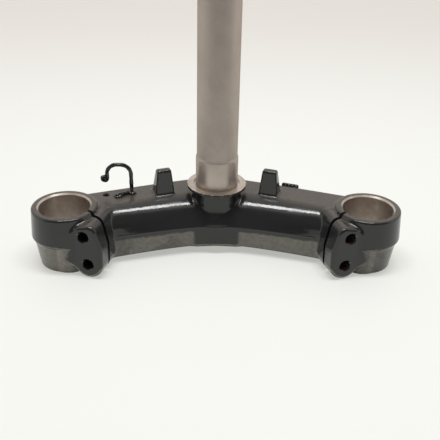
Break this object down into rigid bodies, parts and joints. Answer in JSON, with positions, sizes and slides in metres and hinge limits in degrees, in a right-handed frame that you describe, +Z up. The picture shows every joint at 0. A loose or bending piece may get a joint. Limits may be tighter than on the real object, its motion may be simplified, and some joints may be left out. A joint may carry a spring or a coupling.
{
  "type": "motorcycle triple clamp",
  "caption": "Lower motorcycle triple clamp: a forged yoke with two split fork clamps, steering stops, a pressed-in steering stem and a bent-wire cable guide.",
  "frame": {"origin": "the steering axis, at the height of the surface that the part stands on", "axes": "+Z up along the steering axis, +X to the right as seen from the front, +Y backwards to the rider"},
  "size_m": [0.301, 0.0961, 0.2616],
  "materials": {
    "yoke_paint": "gloss black paint over a forged steel surface, bare in the machined bores and on the stem face",
    "stem_steel": "bare turned steel, brownish grey and satin",
    "guide_paint": "gloss black paint on bent wire"
  },
  "bodies": {
    "root": {"lower_yoke": "yoke_paint", "steering_stem": "stem_steel", "cable_guide": "guide_paint"}
  },
  "joints": []
}
